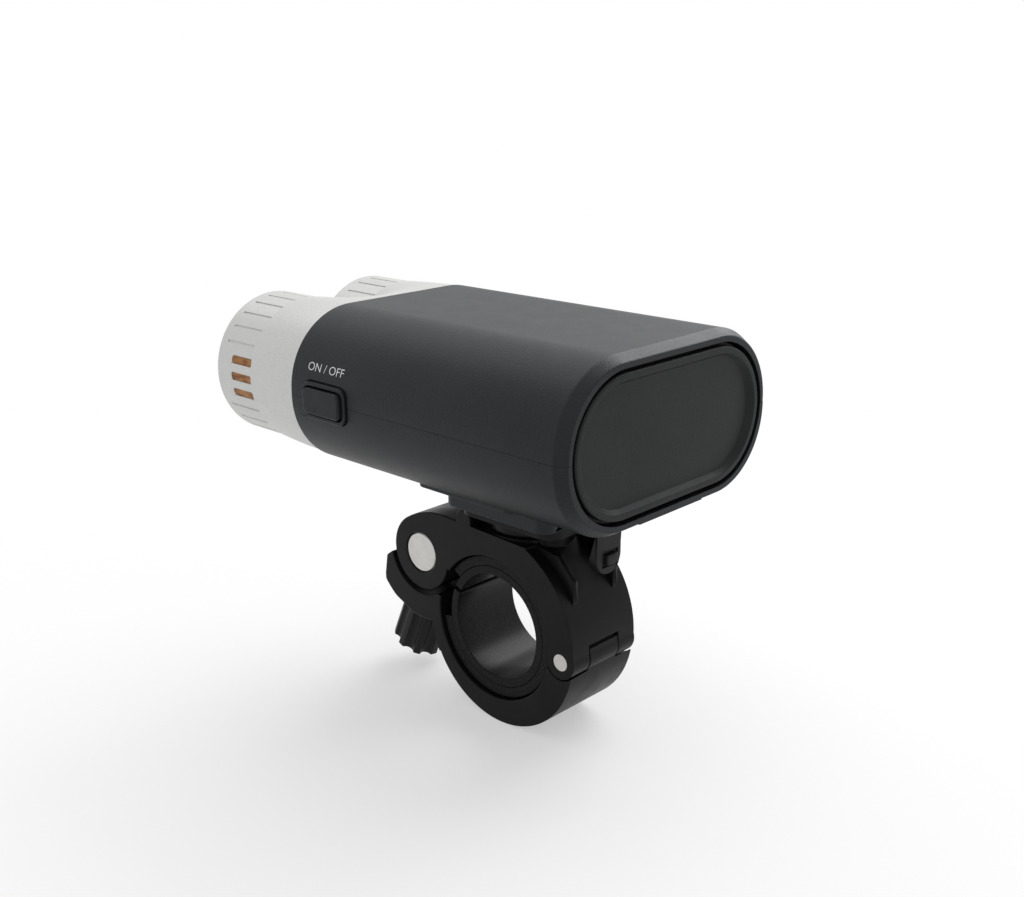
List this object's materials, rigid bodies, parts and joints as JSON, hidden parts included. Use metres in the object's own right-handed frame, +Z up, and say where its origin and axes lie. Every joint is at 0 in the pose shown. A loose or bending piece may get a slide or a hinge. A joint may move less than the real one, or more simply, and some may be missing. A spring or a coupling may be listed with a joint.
{
  "type": "bicycle headlight",
  "caption": "Twin-barrel bicycle headlight with a rounded black casing, silver bezel, side button and a hinged handlebar clamp with rubber liners and a thumb nut.",
  "frame": {"origin": "centre of the handlebar bore, on the bar's axis, mid width of the clamp", "axes": "+X to the rider's right along the bar, +Y forward along the beam, +Z up"},
  "size_m": [0.0693, 0.1143, 0.0952],
  "materials": {
    "clamp_black": "matte",
    "casing_black": "satin",
    "bezel_silver": "satin",
    "heat_sink_metal": "satin",
    "pin_metal": "satin",
    "steel": "satin",
    "liner_rubber": "matte",
    "button_rubber": "matte",
    "lens_clear": "gloss",
    "reflector_chrome": "mirror",
    "marker_amber": "gloss",
    "board": "satin",
    "component_black": "satin",
    "led_white": "gloss",
    "cell_wrap": "satin"
  },
  "bodies": {
    "clamp_base": {"upper_jaw": "clamp_black", "hinge_pin": "pin_metal", "outer_liner": "liner_rubber", "inner_liner": "liner_rubber", "swivel_screw": "steel", "swivel_washer": "steel"},
    "lower_jaw": {"lower_jaw": "clamp_black"},
    "swing": {"barrel_pin": "pin_metal"},
    "nut_carrier": {"thrust_washer": "steel"},
    "nut": {"thumb_nut": "clamp_black", "clamp_stud": "steel"},
    "bracket": {"bracket": "clamp_black", "swivel_nut": "steel", "tongue_pin": "steel"},
    "tongue": {"release_tongue": "clamp_black"},
    "light": {"lower_shell": "casing_black", "upper_shell": "casing_black", "shell_screws": "steel", "front_bezel": "bezel_silver", "heat_sink": "heat_sink_metal", "lens_left": "lens_clear", "lens_right": "lens_clear", "reflector_left": "reflector_chrome", "reflector_right": "reflector_chrome", "led_board_left": "board", "led_board_right": "board", "led_left": "led_white", "led_right": "led_white", "side_marker_left": "marker_amber", "side_marker_right": "marker_amber", "button_collar": "casing_black", "tact_switch": "component_black", "switch_board": "board", "driver_board": "board", "driver_parts": "component_black", "contact_board": "board", "contact_leaves": "steel"},
    "button": {"button_cap": "button_rubber"},
    "drawer": {"rear_cap": "casing_black", "cap_seal": "liner_rubber", "battery_tray": "clamp_black", "cell_1": "cell_wrap", "cell_2": "cell_wrap", "cell_3": "cell_wrap", "cell_4": "cell_wrap"}
  },
  "joints": [
    {"name": "jaw_hinge", "type": "hinge", "parent": "clamp_base", "child": "lower_jaw", "pos_m": [0, -0.021, -0.0017], "axis": [-1, 0, 0], "range_deg": [0, 9]},
    {"name": "stud_swing", "type": "hinge", "parent": "clamp_base", "child": "swing", "pos_m": [0, 0.0239, 0.0124], "axis": [1, 0, 0], "range_deg": [0, 80]},
    {"name": "nut_travel", "type": "slide", "parent": "swing", "child": "nut_carrier", "axis": [0, 0.4002, -0.9164], "range_m": [0, 0.008]},
    {"name": "nut_turn", "type": "hinge", "parent": "nut_carrier", "child": "nut", "pos_m": [0, 0.0319, -0.00592], "axis": [0, 0.4002, -0.9164], "range_deg": [0, 3600]},
    {"name": "swivel", "type": "hinge", "parent": "clamp_base", "child": "bracket", "pos_m": [0, -0.003, 0.024], "axis": [0, 0, 1], "range_deg": [-12, 12]},
    {"name": "release", "type": "hinge", "parent": "bracket", "child": "tongue", "pos_m": [0, -0.0246, 0.0292], "axis": [1, 0, 0], "range_deg": [0, 5], "stiffness_Nm_per_rad": 0.3},
    {"name": "light_slide", "type": "slide", "parent": "bracket", "child": "light", "axis": [0, 1, 0], "range_m": [0, 0.032]},
    {"name": "button_press", "type": "slide", "parent": "light", "child": "button", "axis": [1, 0, 0], "range_m": [0, 0.001], "stiffness_N_per_m": 1500},
    {"name": "drawer_slide", "type": "slide", "parent": "light", "child": "drawer", "axis": [0, -1, 0], "range_m": [0, 0.06]}
  ],
  "couplings": [
    {"joint": "nut_turn", "follows": "nut_travel", "rad_per_m": 7853.9},
    {"joint": "jaw_hinge", "follows": "nut_travel", "rad_per_m": 18.5}
  ]
}
